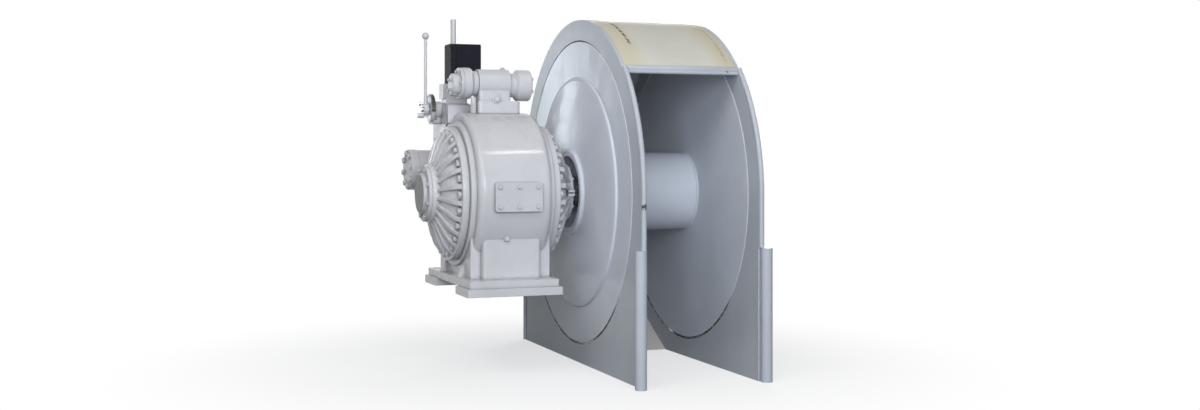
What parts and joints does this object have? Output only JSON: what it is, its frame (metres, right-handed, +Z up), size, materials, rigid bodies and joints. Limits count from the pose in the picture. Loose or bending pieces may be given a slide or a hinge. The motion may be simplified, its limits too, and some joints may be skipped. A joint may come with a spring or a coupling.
{
  "type": "fishing winch",
  "caption": "Hydraulic vane motor with ribbed covers and a hand-lever control valve driving a flanged rope drum in a hooded side-plate frame.",
  "frame": {"origin": "centre of the motor's four holding-down bolt holes, on the underside of its feet", "axes": "+X along the shaft from the motor to the drum, +Z up, and the frame's open front faces -Y"},
  "size_m": [1.707, 1.986, 1.936],
  "materials": {
    "enamel": "glossy light grey enamel on castings",
    "drum_paint": "semi-gloss grey paint",
    "frame_paint": "semi-gloss cool grey paint",
    "hood_paint": "semi-gloss warm grey paint with light grime",
    "steel": "machined",
    "cast_iron": "machined bore",
    "black_box": "gloss black",
    "black_rim": "black paint",
    "seal_rubber": "matt"
  },
  "bodies": {
    "motor_and_frame": {"motor_housing": "enamel", "front_foot_pad": "enamel", "rear_foot_pad": "enamel", "inspection_cover": "enamel", "inspection_bolts": "enamel", "pedestal_plug": "enamel", "ribbed_end_cover": "enamel", "end_cover_bolts": "enamel", "bearing_cap": "enamel", "bearing_cap_bolts": "enamel", "drum_side_cover": "enamel", "drum_side_bolts": "enamel", "seal_retainer": "enamel", "seal_retainer_bolts": "enamel", "relief_body": "enamel", "relief_left_cap": "enamel", "pilot_cap": "enamel", "relief_right_cap": "enamel", "relief_bolts": "enamel", "valve_chest": "enamel", "side_valve_housing": "enamel", "side_valve_cover": "enamel", "side_valve_bolts": "enamel", "oil_port_flanges": "enamel", "oil_port_bolts": "enamel", "lever_quadrant": "enamel", "box_bracket": "enamel", "riser_fitting": "enamel", "riser_pipe": "enamel", "left_side_plate": "frame_paint", "right_side_plate": "frame_paint", "lip_bar": "frame_paint", "front_rim_bars": "frame_paint", "front_pipes": "frame_paint", "rear_strips": "frame_paint", "outboard_beam": "frame_paint", "outboard_housing": "frame_paint", "hood_sheet": "hood_paint", "bearing_outer_races": "steel", "pilot_fitting": "steel", "outboard_bolts": "steel", "cam_ring": "cast_iron", "control_box": "black_box", "control_box_lid": "black_box", "quadrant_rim": "black_rim", "shaft_seal": "seal_rubber"},
    "drum": {"main_shaft": "steel", "rotor": "steel", "vanes": "steel", "bearing_inner_races": "steel", "bearing_rollers": "steel", "drum_barrel": "drum_paint", "drum_left_flange": "drum_paint", "drum_right_flange": "drum_paint", "drum_hubs": "drum_paint"},
    "lever": {"lever_spindle": "steel", "hand_lever": "enamel", "lever_knob": "enamel"},
    "index_pin": {"index_pin": "steel"},
    "relief_spool": {"relief_spool": "steel"}
  },
  "joints": [
    {"name": "drum_turn", "type": "hinge", "parent": "motor_and_frame", "child": "drum", "pos_m": [0, 0, 0.523], "axis": [1, 0, 0], "continuous": true},
    {"name": "lever_swing", "type": "hinge", "parent": "motor_and_frame", "child": "lever", "pos_m": [-0.307, 0.255, 0.985], "axis": [1, 0, 0], "range_deg": [-28, 28]},
    {"name": "index_pin_push", "type": "slide", "parent": "lever", "child": "index_pin", "axis": [1, 0, 0], "range_m": [0, 0.012]},
    {"name": "relief_spool_slide", "type": "slide", "parent": "motor_and_frame", "child": "relief_spool", "axis": [1, 0, 0], "range_m": [-0.01, 0.01], "stiffness_N_per_m": 20000}
  ]
}
